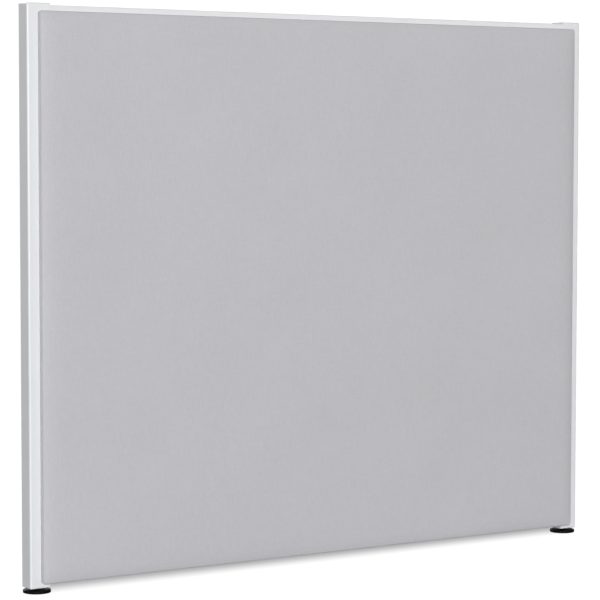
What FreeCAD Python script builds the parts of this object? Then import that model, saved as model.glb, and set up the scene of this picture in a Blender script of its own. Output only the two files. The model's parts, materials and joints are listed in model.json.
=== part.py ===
"""Free-standing fabric-covered partition panel on two levelling feet.

A frame of two posts and two rails holds a septum sheet in its middle plane. A padded fabric tile is clipped
to each face of the frame. Moulded caps close the top corners, moulded blocks close the bottom ones, and a
swivel levelling foot screws into each block.

X runs along the panel, Y through its thickness (the front is -Y) and Z up. The origin is on the floor, in
the middle of the panel. Millimetres.
"""
import FreeCAD, Part
import os
import re
import Sketcher

# Driving dimensions: name, value in mm (or a plain count), what it sets.
SIZES = [
    ("overall_width", 1829, "end plane to end plane, a 72 in panel"),
    ("overall_height", 1524, "floor to the top of the corner caps, a 60 in panel"),
    ("frame_depth", 51, "front face to rear face of posts, caps and blocks"),
    ("post_width", 44, "along the panel"),
    ("post_face", 30.5, "width of post that shows beside the tile"),
    ("post_wall", 2.4, "wall of the post's box section"),
    ("edge_radius", 5, "rounding of the vertical outer edges"),
    ("rail_height", 38, "top and bottom rail"),
    ("rail_wall", 1.5, "wall of both rails"),
    ("trim_wall", 1.5, "wall of the top trim and of the cap's arm"),
    ("trim_height", 19, "skirt of the top trim, top face to lower edge"),
    ("trim_radius", 2.4, "rounding of the trim's long edges"),
    ("cap_length", 66, "corner cap along the panel"),
    ("cap_rise", 5, "cap's top above the trim's top"),
    ("cap_skirt", 8, "cap over the top of the post"),
    ("cap_plug", 22, "plug of the cap inside the post"),
    ("cap_radius", 3.5, "rounding of the cap's top edges, all but the inner one"),
    ("block_length", 58, "corner block along the panel"),
    ("block_height", 12, "corner block below the post"),
    ("block_plug", 34, "plug of the block inside the post"),
    ("block_radius", 3, "rounding of the block's lower edges"),
    ("floor_gap", 14, "floor to the underside of the block"),
    ("fit_gap", 0.15, "clearance all round a plug or a rail inside what it fits"),
    ("joint_gap", 0.5, "gap between the trim and the cap"),
    ("tile_thickness", 20, "tile proud of the frame"),
    ("tile_drop", 19.4, "top of the cap to the top edge of the tile"),
    ("tile_lift", 25.4, "floor to the bottom edge of the tile"),
    ("tile_corner", 9, "corner radius of the tile in elevation"),
    ("tile_edge", 5, "soft rounding round the tile's face"),
    ("board_thickness", 3, "stiff board at the back of the tile"),
    ("fabric_thickness", 1, "cover and the adhesive under it"),
    ("clip_count", 4, "clips down each side of a tile"),
    ("clip_inset", 130, "first clip to the end of the tile"),
    ("clip_width", 6, "tongue of the clip along the panel"),
    ("clip_tongue", 4, "tongue of the clip in height"),
    ("clip_hook", 10, "hook of the clip below its tongue"),
    ("clip_metal", 1.2, "thickness of the clip's hook"),
    ("slot_length", 18, "hook slot in the post"),
    ("slot_margin", 0.5, "slot to clip, each side"),
    ("bracket_leg", 40, "both legs of a corner bracket"),
    ("bracket_width", 36, "corner bracket through the thickness"),
    ("bracket_metal", 3, "thickness of a corner bracket"),
    ("screw_radius", 2.5, "shank of the frame screws"),
    ("screw_head", 4.5, "head radius of the frame screws"),
    ("head_height", 2.6, "head height of the frame screws"),
    ("screw_reach", 6, "frame screw beyond the face it clamps"),
    ("screw_spread", 11, "frame screws to the middle plane"),
    ("septum_thickness", 0.6, "sheet in the middle plane"),
    ("septum_notch", 48, "corner notch that clears a bracket"),
    ("channel_depth", 10, "edge channel of the septum"),
    ("channel_metal", 1.2, "metal of the edge channel"),
    ("stiffener_width", 40, "vertical channel on the septum"),
    ("stiffener_metal", 1.2, "metal of the vertical channel"),
    ("stiffener_place", 300, "vertical channel to the middle of the panel"),
    ("foot_radius", 36.5, "disc of the levelling foot"),
    ("foot_height", 8.4, "floor to the top of the disc"),
    ("foot_inset", 31, "end plane to the axis of the foot"),
    ("foot_rounding", 1.2, "rounding of the disc's rims"),
    ("pad_radius", 31, "rubber pad under the disc"),
    ("pad_height", 1.6, "rubber pad, of which part is below the disc"),
    ("pad_proud", 0.8, "rubber pad below the disc"),
    ("stud_radius", 5, "M10 stud"),
    ("stud_length", 72, "stud above the disc's socket"),
    ("stud_flange", 8.5, "radius of the stud's foot in the socket"),
    ("flange_height", 2, "height of the stud's foot"),
    ("swivel_gap", 0.3, "clearance round the stud's foot in the disc"),
    ("thread_gap", 0.05, "stud to the insert's bore, radial"),
    ("hex_across", 14, "spanner flats on the stud"),
    ("hex_height", 3, "height of the spanner flats"),
    ("hex_clear", 0.5, "spanner flats above the disc"),
    ("insert_radius", 9, "threaded insert in the block"),
    ("insert_length", 32, "threaded insert in the block"),
    ("insert_cover", 6, "block below the insert"),
    ("way_gap", 1, "clearance hole round the stud outside the insert, radial"),
]
NAMES = {name for name, number, note in SIZES}

# Places that several pieces share, as expressions of the driving dimensions.
HALF_DEPTH = "(frame_depth / 2)"
END = "(-overall_width / 2)"
POST_INNER = f"({END} + post_width)"
BLOCK_TOP = "(floor_gap + block_height)"
POST_TOP = "(overall_height - cap_skirt)"
TRIM_TOP = "(overall_height - cap_rise)"
TRIM_BOTTOM = f"({TRIM_TOP} - trim_height)"
RAIL_LENGTH = "(overall_width - 2 * post_width)"
TOP_RAIL_TOP = f"({TRIM_TOP} - trim_wall - fit_gap)"
TOP_RAIL_BOTTOM = f"({TOP_RAIL_TOP} - rail_height)"
BOTTOM_RAIL_TOP = f"({BLOCK_TOP} + rail_height)"
RAIL_DEPTH = "(frame_depth - 2 * trim_wall - 2 * fit_gap)"
TILE_WIDTH = "(overall_width - 2 * post_face)"
TILE_TOP = "(overall_height - tile_drop)"
TILE_HEIGHT = f"({TILE_TOP} - tile_lift)"
BAY_HEIGHT = f"({TOP_RAIL_BOTTOM} - {BOTTOM_RAIL_TOP})"
FOOT_X = f"({END} + foot_inset)"
FLANGE_BOTTOM = "(pad_height + swivel_gap)"
HEX_BOTTOM = "(foot_height + hex_clear)"
INSERT_BOTTOM = "(floor_gap + insert_cover)"
CLIP_MIDDLE = f"({END} + (post_face + post_width - post_wall) / 2)"

doc = FreeCAD.newDocument("partition_panel")
sheet = doc.addObject("Spreadsheet::Sheet", "sizes")
for row, (name, number, note) in enumerate(SIZES, 1):
    sheet.set(f"A{row}", str(number))
    sheet.setAlias(f"A{row}", name)
    sheet.set(f"B{row}", note)
doc.recompute()


def in_sheet(text):
    """The expression text with each driving dimension looked up in the sheet."""
    return re.sub(r"[a-z_]\w*", lambda m: "sizes." + m.group(0) if m.group(0) in NAMES else m.group(0), text)


def bind(item, prop, text):
    item.setExpression(prop, in_sheet(text))


def number_of(text):
    """The present value of an expression of driving dimensions."""
    return float(sheet.evalExpression(in_sheet(text)))


def place(item, corner):
    for axis, text in zip("xyz", corner):
        bind(item, f"Placement.Base.{axis}", text)
    return item


def box(name, corner, lengths):
    item = doc.addObject("Part::Box", name)
    for prop, text in zip(("Length", "Width", "Height"), lengths):
        bind(item, prop, text)
    return place(item, corner)


def cylinder(name, foot, radius, height, along=(0, 0, 1)):
    item = doc.addObject("Part::Cylinder", name)
    item.Placement.Rotation = FreeCAD.Rotation(FreeCAD.Vector(0, 0, 1), FreeCAD.Vector(*along))
    bind(item, "Radius", radius)
    bind(item, "Height", height)
    return place(item, foot)


def cut(name, base, tool):
    item = doc.addObject("Part::Cut", name)
    item.Base = base
    item.Tool = tool
    return item


def fuse(name, pieces):
    item = doc.addObject("Part::MultiFuse", name)
    item.Shapes = pieces
    item.Refine = True
    return item


def group(name, pieces):
    """Several separate solids in one node."""
    item = doc.addObject("Part::Compound", name)
    item.Links = pieces
    return item


def mirrored(name, source, normal):
    """The same piece on the other side of the panel's middle plane."""
    item = doc.addObject("Part::Mirroring", name)
    item.Source = source
    item.Normal = FreeCAD.Vector(*normal)
    return item


def new_body(name):
    return doc.addObject("PartDesign::Body", name)


def new_sketch(body, name, role):
    sketch = body.newObject("Sketcher::SketchObject", name)
    plane = [feature for feature in body.Origin.OriginFeatures if feature.Role == role][0]
    sketch.AttachmentSupport = [(plane, "")]
    sketch.MapMode = "FlatFace"
    return sketch


def fix(sketch, constraint, label, text):
    index = sketch.addConstraint(constraint)
    sketch.renameConstraint(index, label)
    bind(sketch, f"Constraints.{label}", text)


def rectangle(sketch, label, left, bottom, width, height):
    """A rectangle with its lower left corner and its size bound to expressions."""
    x, y, w, h = (number_of(text) for text in (left, bottom, width, height))
    corners = [(x, y), (x + w, y), (x + w, y + h), (x, y + h)]
    points = [FreeCAD.Vector(px, py, 0) for px, py in corners]
    first = sketch.GeometryCount
    for i in range(4):
        sketch.addGeometry(Part.LineSegment(points[i], points[(i + 1) % 4]))
    for i in range(4):
        sketch.addConstraint(Sketcher.Constraint("Coincident", first + i, 2, first + (i + 1) % 4, 1))
    for i in (0, 2):
        sketch.addConstraint(Sketcher.Constraint("Horizontal", first + i))
        sketch.addConstraint(Sketcher.Constraint("Vertical", first + i + 1))
    fix(sketch, Sketcher.Constraint("DistanceX", -1, 1, first, 1, x), label + "_left", left)
    fix(sketch, Sketcher.Constraint("DistanceY", -1, 1, first, 1, y), label + "_bottom", bottom)
    fix(sketch, Sketcher.Constraint("DistanceX", first, 1, first, 2, w), label + "_width", width)
    fix(sketch, Sketcher.Constraint("DistanceY", first + 1, 1, first + 1, 2, h), label + "_height", height)


def circle(sketch, label, centre, radius):
    x, y, r = (number_of(text) for text in (centre[0], centre[1], radius))
    first = sketch.addGeometry(Part.Circle(FreeCAD.Vector(x, y, 0), FreeCAD.Vector(0, 0, 1), r))
    fix(sketch, Sketcher.Constraint("DistanceX", -1, 1, first, 3, x), label + "_x", centre[0])
    fix(sketch, Sketcher.Constraint("DistanceY", -1, 1, first, 3, y), label + "_y", centre[1])
    fix(sketch, Sketcher.Constraint("Radius", first, r), label + "_radius", radius)


def pad(body, name, sketch, length, start="0"):
    """Extrude a sketch along its plane's normal, from a height that is an expression too."""
    bind(sketch, "AttachmentOffset.Base.z", start)
    feature = body.newObject("PartDesign::Pad", name)
    feature.Profile = sketch
    bind(feature, "Length", length)
    sketch.Visibility = False
    doc.recompute()
    return feature


def pocket(body, name, sketch, length, start="0"):
    """Cut a sketch into the body along its plane's normal, and prove that it cut something."""
    before = body.Shape.Volume
    bind(sketch, "AttachmentOffset.Base.z", start)
    feature = body.newObject("PartDesign::Pocket", name)
    feature.Profile = sketch
    feature.Reversed = True
    bind(feature, "Length", length)
    doc.recompute()
    if body.Shape.Volume > before - 1:
        raise RuntimeError(f"{name} cut nothing")
    return feature


def soften(body, name, radius, wanted, spared=lambda point: False):
    """Fillet the body's edges whose end points all satisfy wanted, but not those where all satisfy spared."""
    doc.recompute()
    tip = body.Tip
    edges = []
    for index, edge in enumerate(tip.Shape.Edges, 1):
        points = [vertex.Point for vertex in edge.Vertexes]
        if all(map(wanted, points)) and not all(map(spared, points)):
            edges.append(f"Edge{index}")
    if not edges:
        raise RuntimeError(f"{name} has no edge to round")
    feature = body.newObject("PartDesign::Fillet", name)
    feature.Base = (tip, edges)
    bind(feature, "Radius", radius)
    doc.recompute()
    return feature


def near(a, b):
    return abs(a - b) < 1e-4


def upright_edges(body, name, radius, x, y):
    """Round the upright outer edges of a body at x, front and rear."""
    tip = body.Tip
    edges = []
    for index, edge in enumerate(tip.Shape.Edges, 1):
        ends = [vertex.Point for vertex in edge.Vertexes]
        upright = len(ends) == 2 and near(ends[0].x, ends[1].x) and near(ends[0].y, ends[1].y)
        if upright and near(ends[0].x, x) and near(abs(ends[0].y), y):
            edges.append(f"Edge{index}")
    if not edges:
        raise RuntimeError(f"{name} has no edge to round")
    feature = body.newObject("PartDesign::Fillet", name)
    feature.Base = (tip, edges)
    bind(feature, "Radius", radius)
    doc.recompute()


def post():
    """Box section with a row of hook slots through its front and rear faces."""
    body = new_body("left_post")
    section = new_sketch(body, "post_section", "XY_Plane")
    rectangle(section, "outside", END, f"-{HALF_DEPTH}", "post_width", "frame_depth")
    pad(body, "post_length", section, f"{POST_TOP} - {BLOCK_TOP}", BLOCK_TOP)
    upright_edges(body, "post_edges", "edge_radius", number_of(END), number_of(HALF_DEPTH))
    cavity = new_sketch(body, "post_cavity", "XY_Plane")
    rectangle(cavity, "inside", f"{END} + post_wall", f"-{HALF_DEPTH} + post_wall",
              "post_width - 2 * post_wall", "frame_depth - 2 * post_wall")
    pocket(body, "post_hollow", cavity, "overall_height", "0")
    slots = new_sketch(body, "slot_outline", "XZ_Plane")
    rectangle(slots, "slot", f"{CLIP_MIDDLE} - clip_width / 2 - slot_margin",
              f"tile_lift + clip_inset - slot_length + clip_tongue + slot_margin",
              "clip_width + 2 * slot_margin", "slot_length")
    first = pocket(body, "first_slot", slots, "frame_depth", f"-{HALF_DEPTH}")
    row_of_slots = body.newObject("PartDesign::LinearPattern", "slot_row")
    row_of_slots.Originals = [first]
    row_of_slots.Direction = (slots, ["V_Axis"])
    bind(row_of_slots, "Length", f"{TILE_HEIGHT} - 2 * clip_inset")
    row_of_slots.Occurrences = int(number_of("clip_count"))
    body.Tip = row_of_slots
    doc.recompute()
    return body


def rail(name, bottom):
    """Box section between the posts."""
    body = new_body(name)
    section = new_sketch(body, name + "_section", "YZ_Plane")
    rectangle(section, "outside", f"-{RAIL_DEPTH} / 2", bottom, RAIL_DEPTH, "rail_height")
    rectangle(section, "inside", f"-{RAIL_DEPTH} / 2 + rail_wall", f"{bottom} + rail_wall",
              f"{RAIL_DEPTH} - 2 * rail_wall", "rail_height - 2 * rail_wall")
    pad(body, name + "_length", section, RAIL_LENGTH, POST_INNER)
    return body


def top_trim():
    """Channel that snaps over the top rail between the two caps."""
    body = new_body("top_trim")
    section = new_sketch(body, "trim_section", "YZ_Plane")
    rectangle(section, "outside", f"-{HALF_DEPTH}", TRIM_BOTTOM, "frame_depth", "trim_height")
    length = "overall_width - 2 * cap_length - 2 * joint_gap"
    start = f"{END} + cap_length + joint_gap"
    pad(body, "trim_length", section, length, start)
    top, side = number_of(TRIM_TOP), number_of(HALF_DEPTH)
    soften(body, "trim_edges", "trim_radius", lambda p: near(p.z, top) and near(abs(p.y), side))
    inside = new_sketch(body, "trim_inside", "YZ_Plane")
    rectangle(inside, "inside", f"-{HALF_DEPTH} + trim_wall", f"{TRIM_BOTTOM} - trim_wall",
              "frame_depth - 2 * trim_wall", "trim_height")
    pocket(body, "trim_hollow", inside, length, start)
    return body


def top_cap():
    """Corner cap: a slab on the post, a plug inside it and an arm over the end of the top rail."""
    body = new_body("left_top_cap")
    slab = new_sketch(body, "slab_outline", "XY_Plane")
    rectangle(slab, "slab", END, f"-{HALF_DEPTH}", "cap_length", "frame_depth")
    pad(body, "slab_height", slab, "cap_skirt", POST_TOP)
    upright_edges(body, "slab_edges", "edge_radius", number_of(END), number_of(HALF_DEPTH))
    top, inner = number_of("overall_height"), number_of(f"{END} + cap_length")
    soften(body, "slab_rim", "cap_radius", lambda p: near(p.z, top), lambda p: near(p.x, inner))
    arm = new_sketch(body, "arm_outline", "XY_Plane")
    rectangle(arm, "arm", f"{POST_INNER} + fit_gap", f"-{HALF_DEPTH}",
              "cap_length - post_width - fit_gap", "frame_depth")
    pad(body, "arm_height", arm, f"{POST_TOP} - {TRIM_BOTTOM}", TRIM_BOTTOM)
    hollow = new_sketch(body, "arm_hollow_outline", "XY_Plane")
    rectangle(hollow, "hollow", f"{POST_INNER} - fit_gap", f"-{HALF_DEPTH} + trim_wall",
              "cap_length", "frame_depth - 2 * trim_wall")
    pocket(body, "arm_hollow", hollow, f"{TOP_RAIL_TOP} + fit_gap - {TRIM_BOTTOM} + trim_height",
           f"{TRIM_BOTTOM} - trim_height")
    plug = new_sketch(body, "plug_outline", "XY_Plane")
    rectangle(plug, "plug", f"{END} + post_wall + fit_gap", f"-{HALF_DEPTH} + post_wall + fit_gap",
              "post_width - 2 * post_wall - 2 * fit_gap", "frame_depth - 2 * post_wall - 2 * fit_gap")
    pad(body, "plug_length", plug, "cap_plug", f"{POST_TOP} - cap_plug")
    return body


def bottom_block():
    """Corner block under the post and the rail's end, with a plug that holds the threaded insert."""
    body = new_body("left_block_casting")
    slab = new_sketch(body, "block_outline", "XY_Plane")
    rectangle(slab, "slab", END, f"-{HALF_DEPTH}", "block_length", "frame_depth")
    pad(body, "block_slab", slab, "block_height", "floor_gap")
    upright_edges(body, "block_edges", "edge_radius", number_of(END), number_of(HALF_DEPTH))
    under = number_of("floor_gap")
    soften(body, "block_rim", "block_radius", lambda p: near(p.z, under))
    plug = new_sketch(body, "block_plug_outline", "XY_Plane")
    rectangle(plug, "plug", f"{END} + post_wall + fit_gap", f"-{HALF_DEPTH} + post_wall + fit_gap",
              "post_width - 2 * post_wall - 2 * fit_gap", "frame_depth - 2 * post_wall - 2 * fit_gap")
    pad(body, "block_plug_length", plug, "block_plug", BLOCK_TOP)
    seat = new_sketch(body, "insert_seat_outline", "XY_Plane")
    circle(seat, "seat", (FOOT_X, "0"), "insert_radius")
    pocket(body, "insert_seat", seat, "overall_height", INSERT_BOTTOM)
    way = new_sketch(body, "stud_way_outline", "XY_Plane")
    circle(way, "way", (FOOT_X, "0"), "stud_radius + way_gap")
    pocket(body, "stud_way", way, "overall_height", "0")
    return body


def block_screw(name, side, radius_extra="0"):
    """Screw up through the block's arm into the bottom rail, at one side of the middle plane."""
    x = f"{END} + (post_width + block_length) / 2"
    y = f"{side} * screw_spread"
    shank = cylinder(name + "_shank", (x, y, "floor_gap + head_height"), f"screw_radius + {radius_extra}",
                     "block_height + screw_reach - head_height")
    head = cylinder(name + "_head", (x, y, "floor_gap"), f"screw_head + {radius_extra}", "head_height")
    return fuse(name, [shank, head])


def bracket(name, top):
    """Bent steel bracket in a corner of the frame: one leg on the post, one on the rail."""
    corner_z = TOP_RAIL_BOTTOM if top else BOTTOM_RAIL_TOP
    low_z = f"{corner_z} - bracket_leg" if top else corner_z
    flat_z = f"{corner_z} - bracket_metal" if top else corner_z
    upright = box(name + "_upright", (POST_INNER, "-bracket_width / 2", low_z),
                  ("bracket_metal", "bracket_width", "bracket_leg"))
    flat = box(name + "_flat", (POST_INNER, "-bracket_width / 2", flat_z),
               ("bracket_leg", "bracket_width", "bracket_metal"))
    return fuse(name, [upright, flat])


def bracket_screws(name, top, clearance="0"):
    """Four screws of one bracket: two into the post, two into the rail."""
    corner_z = TOP_RAIL_BOTTOM if top else BOTTOM_RAIL_TOP
    way = -1 if top else 1
    middle = "(bracket_leg + bracket_metal) / 2"
    shank_radius = f"screw_radius + {clearance}"
    head_radius = f"screw_head + {clearance}"
    screws = []
    for label, side in (("front", -1), ("rear", 1)):
        y = f"{side} * screw_spread"
        x_post = f"{POST_INNER} - screw_reach"
        z_post = f"{corner_z} + {way} * {middle}"
        post_shank = cylinder(f"{name}_{label}_post_shank", (x_post, y, z_post), shank_radius,
                              "screw_reach + bracket_metal", (1, 0, 0))
        post_head = cylinder(f"{name}_{label}_post_head", (f"{POST_INNER} + bracket_metal", y, z_post),
                             head_radius, "head_height", (1, 0, 0))
        x_rail = f"{POST_INNER} + {middle}"
        z_rail = f"{corner_z} - {way} * screw_reach"
        rail_shank = cylinder(f"{name}_{label}_rail_shank", (x_rail, y, z_rail), shank_radius,
                              "screw_reach + bracket_metal", (0, 0, way))
        rail_head = cylinder(f"{name}_{label}_rail_head", (x_rail, y, f"{corner_z} + {way} * bracket_metal"),
                             head_radius, "head_height", (0, 0, way))
        screws.append(fuse(f"{name}_{label}_post", [post_shank, post_head]))
        screws.append(fuse(f"{name}_{label}_rail", [rail_shank, rail_head]))
    return screws


def septum_sheet():
    """Sheet in the middle plane, its corners notched round the brackets."""
    body = new_body("septum_sheet")
    outline = new_sketch(body, "septum_outline", "XZ_Plane")
    rectangle(outline, "sheet", f"{POST_INNER} + channel_metal", f"{BOTTOM_RAIL_TOP} + channel_metal",
              f"{RAIL_LENGTH} - 2 * channel_metal", f"{BAY_HEIGHT} - 2 * channel_metal")
    pad(body, "septum_metal", outline, "septum_thickness", "-septum_thickness / 2")
    notches = new_sketch(body, "septum_notch_outline", "XZ_Plane")
    lefts = (POST_INNER, f"-{POST_INNER} - septum_notch")
    bottoms = (BOTTOM_RAIL_TOP, f"{TOP_RAIL_BOTTOM} - septum_notch")
    for i, left in enumerate(lefts):
        for j, bottom in enumerate(bottoms):
            rectangle(notches, f"notch_{i}{j}", left, bottom, "septum_notch", "septum_notch")
    pocket(body, "septum_notches", notches, "frame_depth", f"-{HALF_DEPTH}")
    return body


def channel(name, corner, lengths, slot_corner, slot_lengths):
    return cut(name, box(name + "_bar", corner, lengths), box(name + "_slot", slot_corner, slot_lengths))


def septum_channels():
    """Four channels on posts and rails that hold the edges of the septum."""
    thick = "(septum_thickness + 2 * channel_metal)"
    gap = "septum_thickness"
    y, y_gap = f"-{thick} / 2", f"-{gap} / 2"
    x_start = f"{POST_INNER} + septum_notch"
    x_run = f"{RAIL_LENGTH} - 2 * septum_notch"
    z_start = f"{BOTTOM_RAIL_TOP} + septum_notch"
    z_run = f"{BAY_HEIGHT} - 2 * septum_notch"
    inner = "channel_depth - channel_metal"
    upright, upright_slot = ("channel_depth", thick, z_run), (inner, gap, z_run)
    level, level_slot = (x_run, thick, "channel_depth"), (x_run, gap, inner)
    return group("septum_channels", [
        channel("left_channel", (POST_INNER, y, z_start), upright,
                (f"{POST_INNER} + channel_metal", y_gap, z_start), upright_slot),
        channel("right_channel", (f"-{POST_INNER} - channel_depth", y, z_start), upright,
                (f"-{POST_INNER} - channel_depth", y_gap, z_start), upright_slot),
        channel("bottom_channel", (x_start, y, BOTTOM_RAIL_TOP), level,
                (x_start, y_gap, f"{BOTTOM_RAIL_TOP} + channel_metal"), level_slot),
        channel("top_channel", (x_start, y, f"{TOP_RAIL_BOTTOM} - channel_depth"), level,
                (x_start, y_gap, f"{TOP_RAIL_BOTTOM} - channel_depth"), level_slot),
    ])


def front_stiffeners():
    """Upright channels welded to the front of the septum; their flanges stop short of the tile."""
    depth = f"({HALF_DEPTH} - septum_thickness / 2 - joint_gap)"
    low = f"{BOTTOM_RAIL_TOP} + channel_depth"
    run = f"{BAY_HEIGHT} - 2 * channel_depth"
    bars = []
    for label, side in (("left", -1), ("right", 1)):
        x = f"{side} * stiffener_place - stiffener_width / 2"
        y = f"-{HALF_DEPTH} + joint_gap"
        bar = box(f"{label}_stiffener_bar", (x, y, low), ("stiffener_width", depth, run))
        hollow = box(f"{label}_stiffener_hollow", (f"{x} + stiffener_metal", y, low),
                     ("stiffener_width - 2 * stiffener_metal", f"{depth} - stiffener_metal", run))
        bars.append(cut(f"{label}_stiffener", bar, hollow))
    return group("front_stiffeners", bars)


def tile_layer(name, inset, back, thickness, rounding=None):
    """One layer of the front tile: a slab with rounded corners, its front rim rounded if asked."""
    body = new_body(name)
    outline = new_sketch(body, name + "_outline", "XZ_Plane")
    rectangle(outline, "slab", f"-{TILE_WIDTH} / 2 + {inset}", f"tile_lift + {inset}",
              f"{TILE_WIDTH} - 2 * {inset}", f"{TILE_HEIGHT} - 2 * {inset}")
    pad(body, name + "_thickness", outline, thickness, f"{HALF_DEPTH} + {back}")
    tip = body.Tip
    corners = []
    for index, edge in enumerate(tip.Shape.Edges, 1):
        ends = [vertex.Point for vertex in edge.Vertexes]
        if near(ends[0].x, ends[1].x) and near(ends[0].z, ends[1].z):
            corners.append(f"Edge{index}")
    fillet = body.newObject("PartDesign::Fillet", name + "_corners")
    fillet.Base = (tip, corners)
    bind(fillet, "Radius", f"tile_corner - {inset}")
    doc.recompute()
    if rounding:
        front = number_of(f"-{HALF_DEPTH} - {back} - ({thickness})")
        soften(body, name + "_rim", rounding, lambda p: near(p.y, front))
    return body


def front_fabric():
    """Cover stretched over the batt and the edges of the board, open at the back."""
    outside = tile_layer("front_fabric_outside", "0", "0", "tile_thickness", "tile_edge")
    inside = tile_layer("front_fabric_inside", "fabric_thickness", "0",
                        "tile_thickness - fabric_thickness", "tile_edge - fabric_thickness")
    return cut("front_tile_fabric", outside, inside)


def front_clips():
    """Hooks on the back of the front tile that pass through the slots and drop behind the post's wall."""
    left = f"{CLIP_MIDDLE} - clip_width / 2"
    hook_front = f"-{HALF_DEPTH} + post_wall + fit_gap"
    clips = []
    for side in ("left", "right"):
        x = left if side == "left" else f"-({left}) - clip_width"
        for i in range(int(number_of("clip_count"))):
            z = f"tile_lift + clip_inset + {i} * ({TILE_HEIGHT} - 2 * clip_inset) / (clip_count - 1)"
            tongue = box(f"{side}_tongue_{i}", (x, f"-{HALF_DEPTH}", z),
                         ("clip_width", "post_wall + fit_gap + clip_metal", "clip_tongue"))
            hook = box(f"{side}_hook_{i}", (x, hook_front, f"{z} - clip_hook"),
                       ("clip_width", "clip_metal", "clip_hook + clip_tongue"))
            clips.append(fuse(f"{side}_clip_{i}", [tongue, hook]))
    return group("front_tile_clips", clips)


def foot_insert():
    """Threaded insert, drawn with a plain bore of the thread's outer size."""
    body = new_body("left_foot_insert")
    ring = new_sketch(body, "insert_ring", "XY_Plane")
    circle(ring, "outside", (FOOT_X, "0"), "insert_radius")
    circle(ring, "bore", (FOOT_X, "0"), "stud_radius + thread_gap")
    pad(body, "insert_height", ring, "insert_length", INSERT_BOTTOM)
    return body


def foot_disc():
    """Moulded disc with a socket for the stud's foot and a recess for the rubber pad."""
    body = new_body("left_foot_disc")
    rim = new_sketch(body, "disc_outline", "XY_Plane")
    circle(rim, "disc", (FOOT_X, "0"), "foot_radius")
    pad(body, "disc_height", rim, "foot_height - pad_proud", "pad_proud")
    low, high = number_of("pad_proud"), number_of("foot_height")
    soften(body, "disc_rims", "foot_rounding", lambda p: near(p.z, low) or near(p.z, high))
    recess = new_sketch(body, "pad_recess_outline", "XY_Plane")
    circle(recess, "recess", (FOOT_X, "0"), "pad_radius")
    pocket(body, "pad_recess", recess, "pad_height", "0")
    socket = new_sketch(body, "socket_outline", "XY_Plane")
    circle(socket, "socket", (FOOT_X, "0"), "stud_flange + swivel_gap")
    pocket(body, "socket", socket, "flange_height + 2 * swivel_gap", "pad_height")
    way = new_sketch(body, "disc_way_outline", "XY_Plane")
    circle(way, "way", (FOOT_X, "0"), "stud_radius + swivel_gap")
    pocket(body, "disc_way", way, "foot_height", "0")
    return body


def foot_stud():
    """Stud with a round foot that swivels in the disc and spanner flats just above it."""
    flange = cylinder("stud_flange_part", (FOOT_X, "0", FLANGE_BOTTOM), "stud_flange", "flange_height")
    shank = cylinder("stud_shank", (FOOT_X, "0", FLANGE_BOTTOM), "stud_radius", "stud_length")
    flats = doc.addObject("Part::Prism", "stud_flats")
    flats.Polygon = 6
    bind(flats, "Circumradius", "hex_across / (2 * cos(30 deg))")
    bind(flats, "Height", "hex_height")
    place(flats, (FOOT_X, "0", HEX_BOTTOM))
    return fuse("left_foot_stud", [flange, shank, flats])


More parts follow.
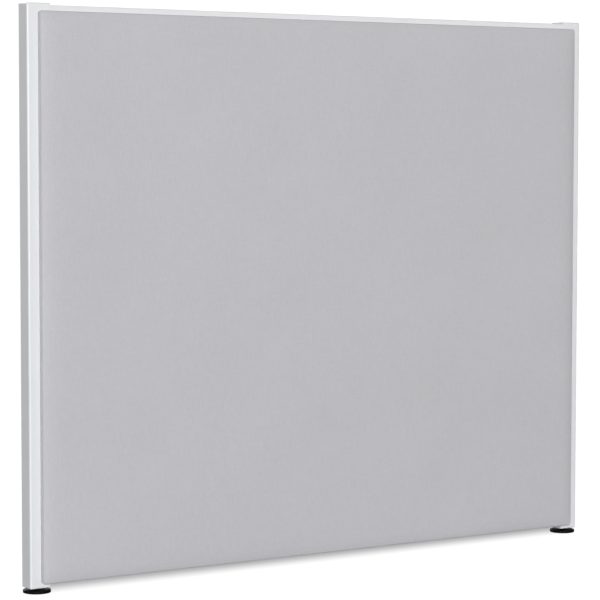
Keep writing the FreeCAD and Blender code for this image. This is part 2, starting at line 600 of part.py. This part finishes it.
def build():
    """Every piece, in the order it would come off on a bench."""
    left_post_body = post()
    left_post_body.Label = "left_post_section"
    top_rail_body = rail("top_rail", TOP_RAIL_BOTTOM)
    bottom_rail_body = rail("bottom_rail", BLOCK_TOP)

    brackets = {}
    holes = {}
    screws = []
    for label, top in (("top", True), ("bottom", False)):
        brackets[label] = bracket(f"left_{label}_plate", top)
        holes[label] = bracket_screws(f"left_{label}_hole", top, "fit_gap")
        screws += bracket_screws(f"left_{label}_screw", top)
    arm_screws = [block_screw("front_arm_screw", -1), block_screw("rear_arm_screw", 1)]
    arm_holes = [block_screw("front_arm_hole", -1, "fit_gap"), block_screw("rear_arm_hole", 1, "fit_gap")]

    all_holes = group("left_holes", holes["top"] + holes["bottom"] + arm_holes)
    right_holes = mirrored("right_holes", all_holes, (1, 0, 0))
    left_screws = group("left_bracket_screws", screws)
    right_screws = mirrored("right_bracket_screws", left_screws, (1, 0, 0))
    left_arm_screws = group("left_block_screws", arm_screws)
    right_arm_screws = mirrored("right_block_screws", left_arm_screws, (1, 0, 0))

    left_post = cut("left_post", left_post_body, all_holes)
    both_ends = group("both_ends_holes", [all_holes, right_holes])
    top_rail = cut("top_rail", top_rail_body, both_ends)
    bottom_rail = cut("bottom_rail", bottom_rail_body, both_ends)
    left_block = cut("left_bottom_block", bottom_block(), group("arm_holes", arm_holes))
    left_top_bracket = cut("left_top_bracket", brackets["top"], group("top_plate_holes", holes["top"]))
    left_bottom_bracket = cut("left_bottom_bracket", brackets["bottom"],
                              group("bottom_plate_holes", holes["bottom"]))

    nodes = {
        "left_post": left_post,
        "top_rail": top_rail,
        "bottom_rail": bottom_rail,
        "top_trim": top_trim(),
        "left_top_cap": top_cap(),
        "left_bottom_block": left_block,
        "left_top_bracket": left_top_bracket,
        "left_bottom_bracket": left_bottom_bracket,
        "bracket_screws": group("bracket_screws", [left_screws, right_screws]),
        "block_screws": group("block_screws", [left_arm_screws, right_arm_screws]),
        "septum_sheet": septum_sheet(),
        "septum_channels": septum_channels(),
        "front_stiffeners": front_stiffeners(),
        "front_tile_board": tile_layer("front_tile_board", "fabric_thickness", "0", "board_thickness"),
        "front_tile_batt": tile_layer("front_tile_batt", "fabric_thickness", "board_thickness",
                                      "tile_thickness - board_thickness - fabric_thickness",
                                      "tile_edge - fabric_thickness"),
        "front_tile_fabric": front_fabric(),
        "front_tile_clips": front_clips(),
        "left_foot_insert": foot_insert(),
        "left_foot_disc": foot_disc(),
        "left_foot_pad": cylinder("left_foot_pad", (FOOT_X, "0", "0"), "pad_radius", "pad_height"),
        "left_foot_stud": foot_stud(),
    }
    for name in [key for key in nodes if key.startswith("left_")]:
        twin = name.replace("left_", "right_", 1)
        nodes[twin] = mirrored(twin, nodes[name], (1, 0, 0))
    for name in [key for key in nodes if key.startswith("front_")]:
        twin = name.replace("front_", "rear_", 1)
        nodes[twin] = mirrored(twin, nodes[name], (0, 1, 0))
    for name, item in nodes.items():
        item.Label = name
    doc.recompute()
    return nodes


def write(nodes):
    """Check every object and every piece, then write one file per piece."""
    for item in doc.Objects:
        if "Invalid" in item.State or "Error" in item.State:
            raise RuntimeError(f"{item.Name} did not build: {item.State}")
    for name, item in nodes.items():
        if item.Shape.isNull() or not item.Shape.isValid():
            raise RuntimeError(f"{name} is not a valid shape")
    os.makedirs("parts", exist_ok=True)
    for name, item in nodes.items():
        item.Shape.exportStep(f"parts/{name}.step")
    print(len(nodes), "pieces written")


write(build())
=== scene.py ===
"""Looks of the fabric-covered partition panel: soft tiles, finishes, studio, lights and camera."""
import json
import math
import bpy
from mathutils import Matrix, Vector


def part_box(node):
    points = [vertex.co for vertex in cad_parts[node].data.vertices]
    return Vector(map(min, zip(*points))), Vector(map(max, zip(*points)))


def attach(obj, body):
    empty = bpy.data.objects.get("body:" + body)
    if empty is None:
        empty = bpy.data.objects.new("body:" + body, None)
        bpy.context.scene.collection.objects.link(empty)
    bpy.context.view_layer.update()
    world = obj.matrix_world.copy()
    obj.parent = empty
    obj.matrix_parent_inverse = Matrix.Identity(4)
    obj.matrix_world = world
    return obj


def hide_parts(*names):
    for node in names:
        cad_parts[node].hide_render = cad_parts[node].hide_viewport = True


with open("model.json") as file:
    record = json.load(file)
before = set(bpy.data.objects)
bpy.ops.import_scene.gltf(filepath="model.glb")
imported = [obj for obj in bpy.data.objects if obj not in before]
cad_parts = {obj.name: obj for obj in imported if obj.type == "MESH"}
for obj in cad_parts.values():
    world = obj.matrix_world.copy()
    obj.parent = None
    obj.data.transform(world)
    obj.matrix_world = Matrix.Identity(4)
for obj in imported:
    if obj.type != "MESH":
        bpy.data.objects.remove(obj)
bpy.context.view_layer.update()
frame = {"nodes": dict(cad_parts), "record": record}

MM = 0.001


# ---------------------------------------------------------------- shader maths

class Number:
    """A number that varies over a surface. Arithmetic on it adds Math nodes."""

    def __init__(self, nodes, socket):
        self.nodes = nodes
        self.socket = socket

    def math(self, operation, *others):
        values = dict(enumerate([self, *others]))
        return self.nodes.number("ShaderNodeMath", {"operation": operation}, values)

    def __add__(self, other):
        return self.math("ADD", other)

    def __sub__(self, other):
        return self.math("SUBTRACT", other)

    def __rsub__(self, other):
        return self.nodes.number("ShaderNodeMath", {"operation": "SUBTRACT"}, {0: other, 1: self})

    def __mul__(self, other):
        return self.math("MULTIPLY", other)

    __radd__ = __add__
    __rmul__ = __mul__

    def sine(self):
        return self.math("SINE")

    def size(self):
        return self.math("ABSOLUTE")

    def between(self, low, high):
        """0 below low, 1 above high, and a smooth step from one to the other."""
        settings = {"interpolation_type": "SMOOTHSTEP"}
        sockets = {"Value": self, "From Min": low, "From Max": high}
        return self.nodes.number("ShaderNodeMapRange", settings, sockets)


class Nodes:
    """The nodes of a material or of the world."""

    def __init__(self, owner):
        owner.use_nodes = True
        self.tree = owner.node_tree

    def node(self, kind, settings, sockets):
        """Any node: its type, its settings first, then the values or links of its sockets."""
        made = self.tree.nodes.new(kind)
        for key, value in settings.items():
            setattr(made, key, value)
        for key, value in sockets.items():
            self.feed(made.inputs[key], value)
        return made

    def feed(self, socket, value):
        if isinstance(value, Number):
            value = value.socket
        if isinstance(value, bpy.types.NodeSocket):
            self.tree.links.new(value, socket)
        else:
            socket.default_value = value

    def number(self, kind, settings, sockets, output=0):
        return Number(self, self.node(kind, settings, sockets).outputs[output])

    def mix(self, factor, low, high):
        """From colour low to colour high."""
        sockets = {0: factor, 6: (*low, 1.0), 7: (*high, 1.0)}
        return self.node("ShaderNodeMix", {"data_type": "RGBA"}, sockets).outputs[2]

    def place(self):
        """Where a point is on the object, in metres, as a vector."""
        return self.node("ShaderNodeTexCoord", {}, {}).outputs["Object"]

    def axes(self, spot):
        """A vector as its three numbers x, y and z."""
        split = self.node("ShaderNodeSeparateXYZ", {}, {"Vector": spot})
        return [Number(self, axis) for axis in split.outputs]

    def to_camera(self, output, others, camera):
        """One shader for the camera's own rays and another for all the rest."""
        direct = self.node("ShaderNodeLightPath", {}, {}).outputs["Is Camera Ray"]
        sockets = {0: direct, 1: others.outputs[0], 2: camera.outputs[0]}
        seen = self.node("ShaderNodeMixShader", {}, sockets)
        self.feed(self.tree.nodes[output].inputs["Surface"], seen.outputs[0])


class Finish(Nodes):
    """One procedural material round a Principled shader."""

    SHEEN_ROUGHNESS = 0.45

    def __init__(self, name, colour, roughness, metallic=0.0, sheen=0.0, specular=0.5):
        self.material = bpy.data.materials.new(name)
        super().__init__(self.material)
        self.shader = self.tree.nodes["Principled BSDF"]
        self.colour = colour
        self.material.diffuse_color = (*colour, 1.0)
        self.paint(Base_Color=(*colour, 1.0), Roughness=roughness, Metallic=metallic,
                   Sheen_Weight=sheen, Sheen_Roughness=self.SHEEN_ROUGHNESS,
                   Specular_IOR_Level=specular)

    def paint(self, **sockets):
        """Values or links for sockets of the shader, with _ for each space in a socket's name."""
        for key, value in sockets.items():
            self.feed(self.shader.inputs[key.replace("_", " ")], value)

    def stretched(self, spot, scale):
        """The place, scaled along each axis."""
        sockets = {0: spot, 1: scale}
        return self.node("ShaderNodeVectorMath", {"operation": "MULTIPLY"}, sockets).outputs[0]

    def noise(self, spot, scale=1.0, detail=2.0, roughness=0.5):
        """Smooth noise from 0 to 1, centred on about 0.5."""
        sockets = {"Vector": spot, "Scale": scale, "Detail": detail, "Roughness": roughness}
        return self.number("ShaderNodeTexNoise", {}, sockets)

    def cells(self, spot, scale):
        """Distance to the nearest of scattered points."""
        return self.number("ShaderNodeTexVoronoi", {}, {"Vector": spot, "Scale": scale})

    def shade(self, amount):
        """The base colour, from a tenth darker at 0 to a tenth lighter at 1."""
        dark = tuple(0.9 * channel for channel in self.colour)
        light = tuple(1.1 * channel for channel in self.colour)
        return self.mix(amount, dark, light)

    def emboss(self, height, depth, strength):
        """Raise the surface by height, where 1 stands for depth in metres."""
        sockets = {"Height": height, "Distance": depth, "Strength": strength}
        bump = self.node("ShaderNodeBump", {}, sockets)
        self.feed(self.shader.inputs["Normal"], bump.outputs["Normal"])


# ---------------------------------------------------------------- finishes

FABRIC_GREY = (0.529, 0.5245, 0.550)
PAINT_GREY = (0.768, 0.775, 0.797)
CAP_GREY = (0.775, 0.78, 0.80)
BOARD_BROWN = (0.30, 0.22, 0.15)
WADDING_CREAM = (0.72, 0.68, 0.55)
NYLON_BLACK = (0.0025, 0.0025, 0.003)
NYLON_DUST = (0.006, 0.006, 0.006)
RUBBER_BLACK = (0.012, 0.012, 0.012)
STEEL_GREY = (0.50, 0.51, 0.52)
ZINC_GREY = (0.60, 0.60, 0.57)
OXIDE_BLACK = (0.035, 0.035, 0.036)

YARN_PITCH = 1.15 * MM


def tile_cloth():
    """Fine plain weave of light and dark grey yarn over the padded tile."""
    finish = Finish("tile_cloth", FABRIC_GREY, 0.92, sheen=0.25, specular=0.25)
    spot = finish.place()
    x, y, z = finish.axes(spot)
    across = (x + y) * (math.pi / YARN_PITCH)
    up = (z + y) * (math.pi / YARN_PITCH)
    over_under = across.sine() * up.sine()
    relief = over_under.size()
    warp_on_top = over_under.between(-0.25, 0.25)
    warp_yarn = finish.noise(finish.stretched(spot, (900.0, 900.0, 25.0)), detail=3.0, roughness=0.6)
    weft_yarn = finish.noise(finish.stretched(spot, (25.0, 900.0, 900.0)), detail=3.0, roughness=0.6)
    yarn = warp_yarn * warp_on_top + weft_yarn * (1.0 - warp_on_top)
    slubs = finish.noise(finish.stretched(spot, (260.0, 260.0, 90.0)))
    cloudy = finish.noise(spot, scale=3.5, detail=3.0, roughness=0.55)
    fuzz = finish.noise(spot, scale=2600.0, detail=1.0)
    streaks = (yarn - 0.5) * 1.5 + (slubs - 0.5) * 0.6 + (cloudy - 0.5) * 0.4
    # The yarns' tops are painted lighter than the hollows between them: painted shade in the weave,
    # on top of the yarns' own streaks.
    tone = streaks + relief * 0.25 + 0.4
    finish.paint(Base_Color=finish.shade(tone), Roughness=fuzz * 0.1 + 0.87)
    finish.emboss(relief * 0.7 + fuzz * 0.3, depth=0.16 * MM, strength=0.6)
    return finish.material


def powder_coat():
    """Satin light grey paint with a fine orange peel."""
    finish = Finish("powder_coat", PAINT_GREY, 0.3)
    spot = finish.place()
    peel = finish.noise(spot, scale=420.0)
    grain = finish.noise(spot, scale=2200.0, detail=1.0)
    drift = finish.noise(spot, scale=6.0)
    finish.paint(Base_Color=finish.shade(drift * 0.2 + grain * 0.1 + 0.35),
                 Roughness=peel * 0.1 + 0.25)
    finish.emboss(peel + grain * 0.3, depth=0.05 * MM, strength=0.5)
    return finish.material


def moulded_cap():
    """Light grey moulded plastic with a fine spark-eroded grain."""
    finish = Finish("moulded_cap", CAP_GREY, 0.46)
    spot = finish.place()
    grain = finish.cells(spot, scale=1500.0)
    flow = finish.noise(finish.stretched(spot, (30.0, 30.0, 12.0)))
    finish.paint(Base_Color=finish.shade(flow * 0.15 + grain * 0.1 + 0.38),
                 Roughness=grain * 0.2 + 0.38)
    finish.emboss(grain, depth=0.04 * MM, strength=0.5)
    return finish.material


def rolled_metal(name, colour, roughness, streak=(8.0, 700.0, 700.0)):
    """Bare or plated metal with fine streaks along its rolling direction."""
    finish = Finish(name, colour, roughness, metallic=1.0)
    spot = finish.place()
    streaks = finish.noise(finish.stretched(spot, streak), detail=3.0, roughness=0.6)
    stains = finish.noise(spot, scale=25.0, detail=3.0)
    finish.paint(Base_Color=finish.shade(stains * 0.5 + streaks * 0.5),
                 Roughness=streaks * 0.15 + stains * 0.1 + (roughness - 0.12))
    finish.emboss(streaks, depth=0.01 * MM, strength=0.4)
    return finish.material


def pressed_board():
    """Brown pressed fibre board."""
    finish = Finish("pressed_board", BOARD_BROWN, 0.8)
    spot = finish.place()
    fibres = finish.noise(finish.stretched(spot, (160.0, 160.0, 420.0)), detail=4.0, roughness=0.7)
    finish.paint(Base_Color=finish.shade(fibres), Roughness=fibres * 0.2 + 0.7)
    finish.emboss(fibres, depth=0.1 * MM, strength=0.5)
    return finish.material


def fibre_wadding():
    """Cream fibre batt under the cover."""
    finish = Finish("fibre_wadding", WADDING_CREAM, 0.95, sheen=0.2)
    spot = finish.place()
    strands = finish.noise(spot, scale=180.0, detail=5.0, roughness=0.7)
    finish.paint(Base_Color=finish.shade(strands), Roughness=strands * 0.1 + 0.88)
    finish.emboss(strands, depth=0.8 * MM, strength=0.6)
    return finish.material


def black_nylon():
    """Moulded black plastic, nearly matt, with a little dust."""
    finish = Finish("black_nylon", NYLON_BLACK, 0.55, specular=0.08)
    spot = finish.place()
    grain = finish.noise(spot, scale=900.0)
    dust = finish.noise(spot, scale=60.0, detail=3.0)
    finish.paint(Base_Color=finish.mix(dust * grain, NYLON_BLACK, NYLON_DUST),
                 Roughness=grain * 0.15 + 0.48)
    finish.emboss(grain, depth=0.03 * MM, strength=0.4)
    return finish.material


def black_rubber():
    """Matt black rubber under the feet."""
    finish = Finish("black_rubber", RUBBER_BLACK, 0.85)
    spot = finish.place()
    grain = finish.noise(spot, scale=1400.0)
    finish.paint(Base_Color=finish.shade(grain), Roughness=grain * 0.2 + 0.72)
    finish.emboss(grain, depth=0.05 * MM, strength=0.5)
    return finish.material


FINISHES = {
    "frame_paint": powder_coat(),
    "cap_plastic": moulded_cap(),
    "plain_steel": rolled_metal("mill_steel", STEEL_GREY, 0.42),
    "zinc_screw": rolled_metal("bright_zinc", ZINC_GREY, 0.3, streak=(300.0, 300.0, 300.0)),
    "board": pressed_board(),
    "batt": fibre_wadding(),
    "tile_fabric": tile_cloth(),
    "foot_plastic": black_nylon(),
    "foot_rubber": black_rubber(),
    "black_steel": rolled_metal("black_oxide", OXIDE_BLACK, 0.38, streak=(400.0, 400.0, 60.0)),
}

SLOT_OF = {part["node"]: part["material_slot"] for part in frame["record"]["subparts"]}
for node, cad in frame["nodes"].items():
    cad.data.materials.clear()
    cad.data.materials.append(FINISHES[SLOT_OF[node]])


# ---------------------------------------------------------------- padded tiles

CORNER_ROUND = 9.0 * MM         # radius of the tile's four corners, seen from the front
TIGHTEST_ROUND = 2.0 * MM       # least corner radius of anything inside the cover
CORNER_STEPS = 10
WALL = 15.5 * MM                # from the frame's face to where the crown starts
BULGE = 3.0 * MM                # how far the crown stands beyond the plain tile
CROWN_REACH = 18.0 * MM         # how slowly the crown flattens away from the edge
SHOULDER_ROUND = 5.0 * MM       # radius between the crown and the wall
SHOULDER_LEAN = math.radians(20)
SHOULDER_TURNS = range(30, 91, 10)
TUCK = 0.35 * MM                # how far the cloth pulls in where it rounds a corner
COVER_THICKNESS = 0.9 * MM
BATT_INSET = 2.0 * MM
BATT_GAP = 0.2 * MM             # between the cover's back and the batt
BOARD_GAP = 0.1 * MM            # between the batt and its board
HEM_GAP = 0.2 * MM              # between the cover's hem and the frame
HEM_DEPTH = 6.0 * MM            # band of the wall that is fully held
GIVE = 0.6 * MM                 # the most that tightening moves any point
FINE_STEP = 4 * MM
COARSE_STEP = 28 * MM
STEP_GROWTH = 1.12


def graded(half):
    """Grid lines from -half to half, close together near both ends and wide apart in the middle."""
    steps = []
    reach, step = 0.0, FINE_STEP
    while reach + step < half:
        steps.append(reach)
        reach += step
        step = min(step * STEP_GROWTH, COARSE_STEP)
    steps.append(reach)
    side = [half - distance for distance in steps]
    return sorted([-value for value in side] + side)


def grid_outline(wide, tall):
    """Once round a grid: each point's number, outward direction and share of a corner's turn."""
    spots = []

    def corner(number, first_angle):
        for step in range(CORNER_STEPS + 1):
            share = step / CORNER_STEPS
            spots.append((number, first_angle + math.pi / 2 * share, share))

    corner(0, math.pi)
    spots.extend((col, -math.pi / 2, 0.0) for col in range(1, wide - 1))
    corner(wide - 1, -math.pi / 2)
    spots.extend((row * wide + wide - 1, 0.0, 0.0) for row in range(1, tall - 1))
    corner(tall * wide - 1, 0.0)
    spots.extend(((tall - 1) * wide + col, math.pi / 2, 0.0) for col in range(wide - 2, 0, -1))
    corner((tall - 1) * wide, math.pi / 2)
    spots.extend((row * wide, math.pi, 0.0) for row in range(tall - 2, 0, -1))
    return spots


def without_repeats(numbers):
    return tuple(dict.fromkeys(numbers))


class Pillow:
    """The form of a tile: a crowned face, a rounded shoulder and a straight wall."""

    def __init__(self, node, inset=0.0, below=0.0):
        low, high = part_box(node)
        self.root = high.y
        self.middle = (low + high) / 2
        self.half_x = (high.x - low.x) / 2
        self.half_z = (high.z - low.z) / 2
        self.inset = inset
        self.below = below
        self.rise = high.y - low.y + BULGE - WALL

    def front(self, x, z):
        """How far forward the face is at a place measured from the middle."""
        share = 1.0
        for half, value in ((self.half_x, x), (self.half_z, z)):
            share *= 1 - math.exp(-max(half - abs(value), 0.0) / CROWN_REACH)
        return self.root - WALL - self.rise * share + self.below

    def point(self, x, z, y=None):
        """A point of the tile, on its face unless y is given."""
        return Vector((self.middle.x + x, self.front(x, z) if y is None else y, self.middle.z + z))

    def mesh(self, name, back, closed=False):
        """A grid for the face, then rings round it, out and along the wall to the plane y = back."""
        round_off = max(CORNER_ROUND - self.inset, TIGHTEST_ROUND)
        xs = graded(self.half_x - self.inset - round_off)
        zs = graded(self.half_z - self.inset - round_off)
        wide, tall = len(xs), len(zs)
        flat = [(x, z) for z in zs for x in xs]
        points = [self.point(x, z) for x, z in flat]
        faces = []
        for row in range(tall - 1):
            for col in range(wide - 1):
                start = row * wide + col
                faces.append((start, start + 1, start + wide + 1, start + wide))
        outline = grid_outline(wide, tall)
        ring = [number for number, angle, share in outline]

        def next_ring(out, depths, tuck):
            """A ring that far out from the grid, on the face or at the given depths."""
            made = []
            for i, (number, angle, share) in enumerate(outline):
                reach = out - tuck * math.sin(4 * math.pi * share) ** 2
                x = flat[number][0] + reach * math.cos(angle)
                z = flat[number][1] + reach * math.sin(angle)
                points.append(self.point(x, z, depths and depths[i]))
                made.append(len(points) - 1)
            for i in range(len(ring)):
                j = (i + 1) % len(ring)
                faces.append(without_repeats((ring[j], ring[i], made[i], made[j])))
            return made

        def shoulder(angle):
            """How far out the rounded shoulder has come where it leans by angle."""
            return round_off - SHOULDER_ROUND * (1 - math.sin(angle))

        start = shoulder(SHOULDER_LEAN)
        for share in (0.25, 0.5, 0.75):
            ring = next_ring(start * share, None, 0.0)
        ring = next_ring(start, None, TUCK)
        rim = [points[number].y for number in ring]
        wall_top = self.front(self.half_x - self.inset - round_off + start, 0)
        wall_top += SHOULDER_ROUND * math.cos(SHOULDER_LEAN)
        for turn in SHOULDER_TURNS:
            angle = math.radians(turn)
            blend = 1 - math.cos(angle) / math.cos(SHOULDER_LEAN)
            ring = next_ring(shoulder(angle), [y + (wall_top - y) * blend for y in rim], TUCK)
        for share in (0.25, 0.5, 0.75, 1.0):
            depth = wall_top + (back - wall_top) * share
            ring = next_ring(round_off, [depth] * len(rim), TUCK)
        if closed:
            faces.append(without_repeats(ring))
        return new_mesh(name, points, faces)


def new_mesh(name, points, faces):
    data = bpy.data.meshes.new(name)
    data.from_pydata([tuple(point) for point in points], [], faces)
    data.validate()
    piece = bpy.data.objects.new(name, data)
    bpy.context.scene.collection.objects.link(piece)
    data.polygons.foreach_set("use_smooth", [True] * len(data.polygons))
    return piece


CLOTH_SETTINGS = {
    "quality": 6,
    "mass": 0.3,
    "tension_stiffness": 40,
    "compression_stiffness": 40,
    "bending_stiffness": 4,
    "shrink_min": 0.004,
    "pin_stiffness": 0.6,
    "use_pressure": True,
    "uniform_pressure_force": 2.0,
}
CLOTH_FRAMES = 14
HEM_HOLD = 1.0
FACE_HOLD = 0.25


def tighten(piece, hem_line):
    """Cloth held at its hem and loosely pinned over its face, pulled a little tighter than it was
    cut.
    """
    vertices = piece.data.vertices
    rest = [vertex.co.copy() for vertex in vertices]
    held = piece.vertex_groups.new(name="held")
    for vertex in vertices:
        held.add([vertex.index], HEM_HOLD if vertex.co.y > hem_line else FACE_HOLD, "REPLACE")
    cloth = piece.modifiers.new("tension", "CLOTH")
    for key, value in CLOTH_SETTINGS.items():
        setattr(cloth.settings, key, value)
    cloth.settings.vertex_group_mass = held.name
    cloth.settings.effector_weights.gravity = 0.0
    cloth.collision_settings.use_collision = False
    cloth.point_cache.frame_end = CLOTH_FRAMES
    for number in range(1, CLOTH_FRAMES + 1):
        bpy.context.scene.frame_set(number)
    shaped = piece.evaluated_get(bpy.context.evaluated_depsgraph_get()).to_mesh()
    moved = [vertex.co.copy() for vertex in shaped.vertices]
    piece.modifiers.remove(cloth)
    bpy.context.scene.frame_set(1)
    for vertex, old, new in zip(vertices, rest, moved):
        step = new - old
        if step.length > GIVE:
            step = step.normalized() * GIVE
        vertex.co = old + step


def make_cover():
    """The cloth of the front tile, from its face round to its hem at the frame."""
    form = Pillow("front_tile_fabric")
    cover = form.mesh("front_tile_cover", form.root - HEM_GAP)
    tighten(cover, form.root - HEM_DEPTH)
    shell = cover.modifiers.new("thickness", "SOLIDIFY")
    shell.thickness = COVER_THICKNESS
    shell.offset = -1.0
    return cover


def make_batt():
    """The wadding under the cloth, closed along the board."""
    form = Pillow("front_tile_fabric", BATT_INSET, COVER_THICKNESS + GIVE + BATT_GAP)
    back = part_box("front_tile_board")[0].y - BOARD_GAP
    return form.mesh("front_tile_wadding", back, closed=True)


def turned_to_rear(piece, name):
    """The same piece on the other face of the frame, turned half round the upright axis."""
    twin = piece.copy()
    twin.data = piece.data.copy()
    twin.name = name
    twin.data.name = name
    bpy.context.scene.collection.objects.link(twin)
    twin.data.transform(Matrix.Diagonal((-1, -1, 1, 1)))
    return twin


def dress(piece, slot, node):
    """The piece takes its finish, moves with the frame and hides the node of the part that it stands
    in for.
    """
    piece.data.materials.append(FINISHES[slot])
    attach(piece, "frame")
    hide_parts(node)


front_cover = make_cover()
front_batt = make_batt()
rear_cover = turned_to_rear(front_cover, "rear_tile_cover")
rear_batt = turned_to_rear(front_batt, "rear_tile_wadding")

# Laid flat, a cover is the tile's face with the tile's edge folded out on every side.
for side, cover, batt in (("front", front_cover, front_batt), ("rear", rear_cover, rear_batt)):
    dress(cover, "tile_fabric", f"{side}_tile_fabric")
    dress(batt, "batt", f"{side}_tile_batt")


# ---------------------------------------------------------------- studio

WHITE = (1.0, 1.0, 1.0, 1.0)

FLOOR_REACH = 60.0
FLOOR_TONE = (0.33, 0.345, 0.38)
FLOOR_GLOW = 1.03               # what the camera sees of the open floor
SHADOW_DEPTH = 0.635            # how much of that glow the shadow takes away
SHADOW_STARTS = (-0.060, 0.105)
SHADOW_FADES = (0.15, 0.40)
SHADOW_ENDS = (0.87, 0.93)
FRAME_HALF_DEPTH = 0.0255

WORLD_TONE = (0.392, 0.382, 0.345)
OVERHEAD_SHARE = 0.15           # brightness overhead, as a share of that at the horizon
OVERHEAD_BAND = (0.05, 0.9)
BACKDROP_GLOW = 1.05

KEY_AZIMUTH = 29
LIGHT_SIZE = 13.7
LIGHT_DISTANCE = 30
PANEL_MIDDLE = Vector((0, 0, 0.75))

CAMERA_PLACE = Vector((-3.6808, -5.4675, 1.166))
CAMERA_YAW, CAMERA_PITCH, CAMERA_ROLL = (math.radians(angle) for angle in (33.487, 3.777, 0.062))
CAMERA_LENS = 142.2
SENSOR_WIDTH = 36.0


def make_floor():
    """Matt pale floor. The camera sees it white, with a soft shadow drawn by place on it."""
    corners = [(across * FLOOR_REACH, along * FLOOR_REACH, 0)
               for across, along in ((-1, -1), (1, -1), (1, 1), (-1, 1))]
    floor = new_mesh("studio_floor", corners, [(0, 1, 2, 3)])
    material = bpy.data.materials.new("studio_white")
    nodes = Nodes(material)
    x, y, z = nodes.axes(nodes.place())
    depth = y.between(*SHADOW_STARTS) * (1.0 - y.between(*SHADOW_FADES))
    slant = math.tan(math.radians(KEY_AZIMUTH))
    aside = (x - (y + FRAME_HALF_DEPTH) * slant).size()
    shadow = depth * (1.0 - aside.between(*SHADOW_ENDS))
    matt = nodes.node("ShaderNodeBsdfDiffuse", {}, {"Color": (*FLOOR_TONE, 1.0)})
    brightness = FLOOR_GLOW - shadow * SHADOW_DEPTH
    glow = nodes.node("ShaderNodeEmission", {}, {"Color": WHITE, "Strength": brightness})
    nodes.to_camera("Material Output", others=matt, camera=glow)
    floor.data.materials.append(material)


def make_world():
    """White to the camera. To everything else a soft fill, strongest near the horizon."""
    world = bpy.data.worlds.new("studio")
    bpy.context.scene.world = world
    nodes = Nodes(world)
    way = nodes.node("ShaderNodeTexCoord", {}, {}).outputs["Generated"]
    x, y, height = nodes.axes(way)
    overhead = tuple(channel * OVERHEAD_SHARE for channel in WORLD_TONE)
    around = nodes.mix(height.between(*OVERHEAD_BAND), WORLD_TONE, overhead)
    fill = nodes.node("ShaderNodeBackground", {}, {"Color": around})
    white = nodes.node("ShaderNodeBackground", {}, {"Color": WHITE, "Strength": BACKDROP_GLOW})
    nodes.to_camera("World Output", others=fill, camera=white)


def add_light(name, azimuth, elevation, power):
    """A large soft light that looks at the middle of the panel. Azimuth 0 is straight in front."""
    light = bpy.data.lights.new(name, "AREA")
    light.size = LIGHT_SIZE
    light.energy = power
    lamp = bpy.data.objects.new(name, light)
    bpy.context.scene.collection.objects.link(lamp)
    a, e = math.radians(azimuth), math.radians(elevation)
    away = Vector((-math.sin(a) * math.cos(e), -math.cos(a) * math.cos(e), math.sin(e)))
    lamp.location = PANEL_MIDDLE + away * LIGHT_DISTANCE
    lamp.rotation_euler = away.to_track_quat("Z", "Y").to_euler()


def make_camera():
    """Seen from the front left, a little above the middle, with a long lens."""
    camera = bpy.data.objects.new("camera", bpy.data.cameras.new("camera"))
    bpy.context.scene.collection.objects.link(camera)
    camera.data.sensor_width = SENSOR_WIDTH
    camera.data.lens = CAMERA_LENS
    level = Vector((math.sin(CAMERA_YAW), math.cos(CAMERA_YAW), 0))
    right = Vector((math.cos(CAMERA_YAW), -math.sin(CAMERA_YAW), 0))
    up = Vector((0, 0, 1))
    ahead = level * math.cos(CAMERA_PITCH) - up * math.sin(CAMERA_PITCH)
    above = up * math.cos(CAMERA_PITCH) + level * math.sin(CAMERA_PITCH)
    tilted_right = right * math.cos(CAMERA_ROLL) + above * math.sin(CAMERA_ROLL)
    tilted_up = above * math.cos(CAMERA_ROLL) - right * math.sin(CAMERA_ROLL)
    turn = Matrix((tilted_right, tilted_up, -ahead)).transposed()
    camera.matrix_world = Matrix.LocRotScale(CAMERA_PLACE, turn, None)
    bpy.context.scene.camera = camera


make_floor()
make_world()
add_light("key_light", azimuth=KEY_AZIMUTH, elevation=9, power=9050)
add_light("rear_light", azimuth=190, elevation=22, power=6200)
make_camera()
bpy.context.scene.view_settings.view_transform = "Standard"

bpy.context.view_layer.update()
